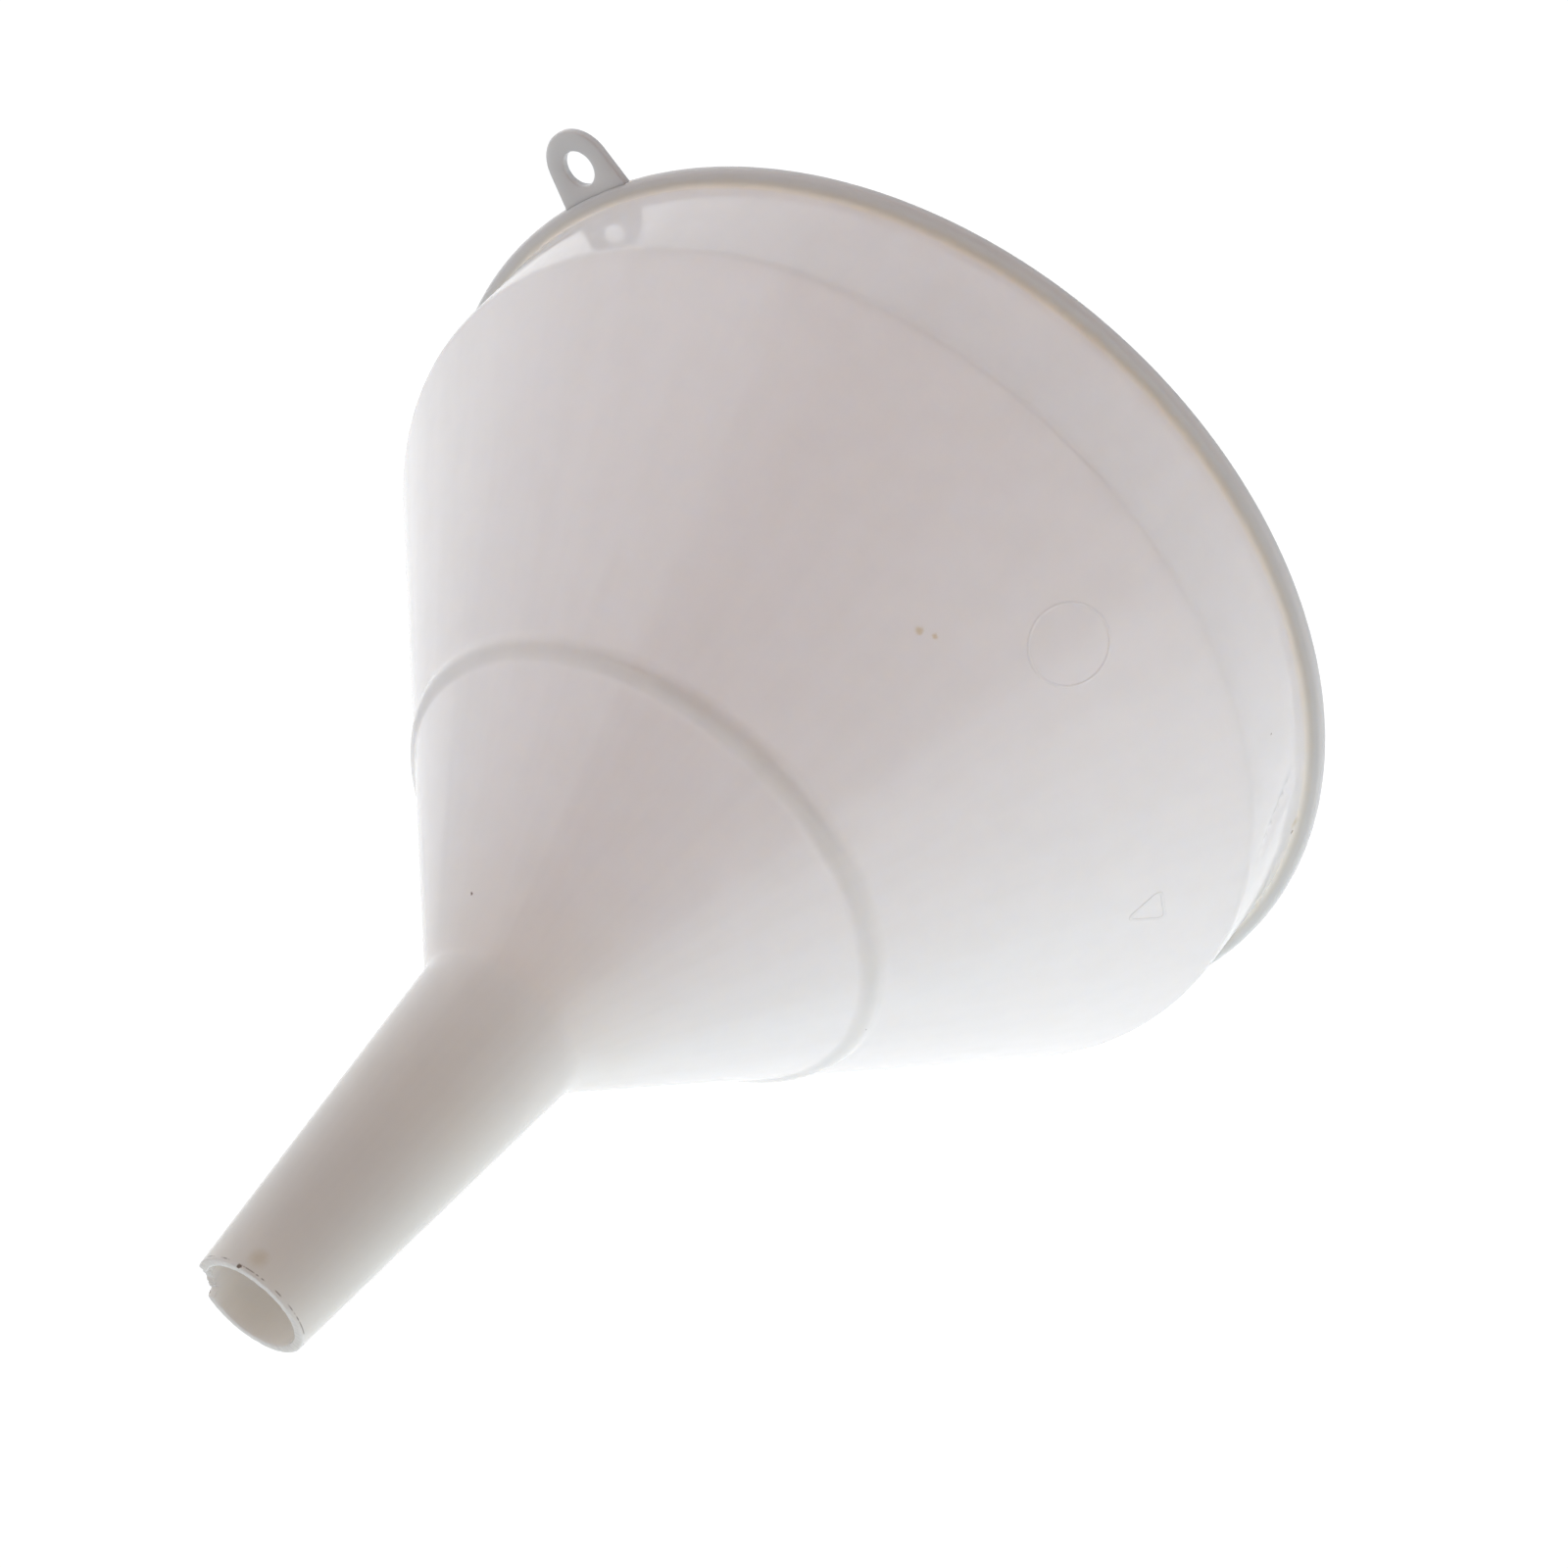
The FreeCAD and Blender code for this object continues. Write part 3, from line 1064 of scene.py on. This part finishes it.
def studio_light(s):
    """Soft light: three lit sides, a dark side, a dark ceiling and the board's glow from below."""
    world = bpy.data.worlds.new("studio")
    world.use_nodes = True
    tree = world.node_tree
    tree.nodes.clear()
    ray = add_node(tree, "ShaderNodeTexCoord").outputs["Generated"]
    axes = add_node(tree, "ShaderNodeSeparateXYZ", None, {0: ray}).outputs
    azimuth = add_node(
        tree, "ShaderNodeMath", {"operation": "ARCTAN2"}, {0: axes["Y"], 1: axes["X"]}
    ).outputs[0]
    azimuth = add_node(tree, "ShaderNodeMath", PRODUCT, {0: azimuth, 1: math.degrees(1)}).outputs[0]
    elevation = add_node(tree, "ShaderNodeMath", {"operation": "ARCSINE"}, {0: axes["Z"]}).outputs[0]
    elevation = add_node(tree, "ShaderNodeMath", PRODUCT, {0: elevation, 1: math.degrees(1)}).outputs[0]

    # Each zone's last two numbers are the widths of its soft edges.
    back = between(tree, azimuth, BACK_FROM, OPEN, 30.0, 1.0)
    window_left = between(tree, azimuth, WINDOW_FROM, OPEN, 40.0, 1.0)
    window_right = between(tree, azimuth, -OPEN, WINDOW_TO, 1.0, 24.0)
    shade = between(tree, azimuth, SHADE_FROM, SHADE_TO, 14.0, 1.5)
    strip = between(tree, azimuth, STRIP_FROM, STRIP_TO, 0.8, 0.8)
    below = between(tree, elevation, -OPEN, LOW_TO, 1.0, 34.0)
    overhead = between(tree, elevation, OVERHEAD_FROM, OPEN, 40.0, 1.0)
    sky = (*s.tab_side, 1.0)
    for share, light in (
        (back, s.back),
        (window_left, s.window),
        (window_right, s.window),
        (shade, s.shade),
        (strip, s.tab_side),
        (below, s.low),
        (overhead, s.ceiling),
    ):
        sky = add_node(tree, "ShaderNodeMix", COLOURS, {0: share, 6: sky, 7: (*light, 1.0)}).outputs[2]
    background = add_node(tree, "ShaderNodeBackground", None, {"Color": sky, "Strength": 1.0})
    add_node(tree, "ShaderNodeOutputWorld", None, {"Surface": background.outputs[0]})
    return world


class FUNNEL_OT_stage(bpy.types.Operator):
    """Set the floor, the soft light and the camera"""

    bl_idname = "funnel.set_stage"
    bl_label = "Studio Stage"

    def execute(self, context):
        s = context.scene.funnel_stage
        bm = bmesh.new()
        bmesh.ops.create_circle(bm, cap_ends=True, segments=96, radius=s.floor_radius)
        mesh = bpy.data.meshes.new("floor")
        bm.to_mesh(mesh)
        bm.free()
        floor = bpy.data.objects.new("floor", mesh)
        floor.location.z = -FLOOR_GAP
        # The world's low zone stands for the board's soft light; the board is seen and mirrored only.
        floor.visible_diffuse = False
        floor.visible_transmission = False
        floor.visible_shadow = False
        context.scene.collection.objects.link(floor)
        mesh.materials.append(lit_board(s))
        context.scene.world = studio_light(s)
        context.scene.view_settings.view_transform = "Standard"

        # The board's light that comes in through the mouth, as bright as its colour says.
        size = MOUTH_GLOW
        glow = bpy.data.lights.new("mouth_glow", "AREA")
        glow.shape = "DISK"
        glow.size = size
        glow.color = s.under_light
        glow.energy = math.pi * math.pi * (size / 2) ** 2
        lamp = bpy.data.objects.new("mouth_glow", glow)
        lamp.location.z = GLOW_HEIGHT
        lamp.rotation_euler.x = math.pi
        lamp.visible_camera = False
        context.scene.collection.objects.link(lamp)

        lens = bpy.data.cameras.new("camera")
        lens.lens = s.camera_lens
        lens.sensor_width = SENSOR
        lens.clip_start = 0.01
        lens.clip_end = 50
        camera = bpy.data.objects.new("camera", lens)
        camera.location = s.camera_place
        camera.rotation_euler = Euler(s.camera_turn, "XYZ")
        context.scene.collection.objects.link(camera)
        context.scene.camera = camera
        return {"FINISHED"}


# ---- Panel ----
class FUNNEL_PT_sidebar(bpy.types.Panel):
    """Lists the funnel's pieces and sizes"""

    bl_idname = "FUNNEL_PT_sidebar"
    bl_label = "Household Funnel"
    bl_space_type = "VIEW_3D"
    bl_region_type = "UI"
    bl_category = "Funnel"

    def draw(self, context):
        for operator in OPERATORS:
            self.layout.operator(operator.bl_idname)
        for name in SETTINGS:
            box = self.layout.box()
            settings = getattr(context.scene, name)
            for key in settings.__annotations__:
                box.prop(settings, key)


SETTINGS = {
    "funnel_shell": FunnelShellSettings,
    "funnel_tab": FunnelTabSettings,
    "funnel_marks": FunnelMarkSettings,
    "funnel_finish": FunnelFinishSettings,
    "funnel_stage": FunnelStageSettings,
}
OPERATORS = (FUNNEL_OT_shell, FUNNEL_OT_tab, FUNNEL_OT_marks, FUNNEL_OT_stage)


def register():
    for name, settings in SETTINGS.items():
        bpy.utils.register_class(settings)
        setattr(bpy.types.Scene, name, PointerProperty(type=settings))
    for operator in OPERATORS:
        bpy.utils.register_class(operator)
    bpy.utils.register_class(FUNNEL_PT_sidebar)


def unregister():
    bpy.utils.unregister_class(FUNNEL_PT_sidebar)
    for operator in reversed(OPERATORS):
        bpy.utils.unregister_class(operator)
    for name, settings in SETTINGS.items():
        delattr(bpy.types.Scene, name)
        bpy.utils.unregister_class(settings)


def main():
    """Builds every piece and the stage."""
    register()
    bpy.ops.funnel.build_shell()
    bpy.ops.funnel.build_tab()
    bpy.ops.funnel.build_marks()
    bpy.ops.funnel.set_stage()


if __name__ == "__main__":
    main()
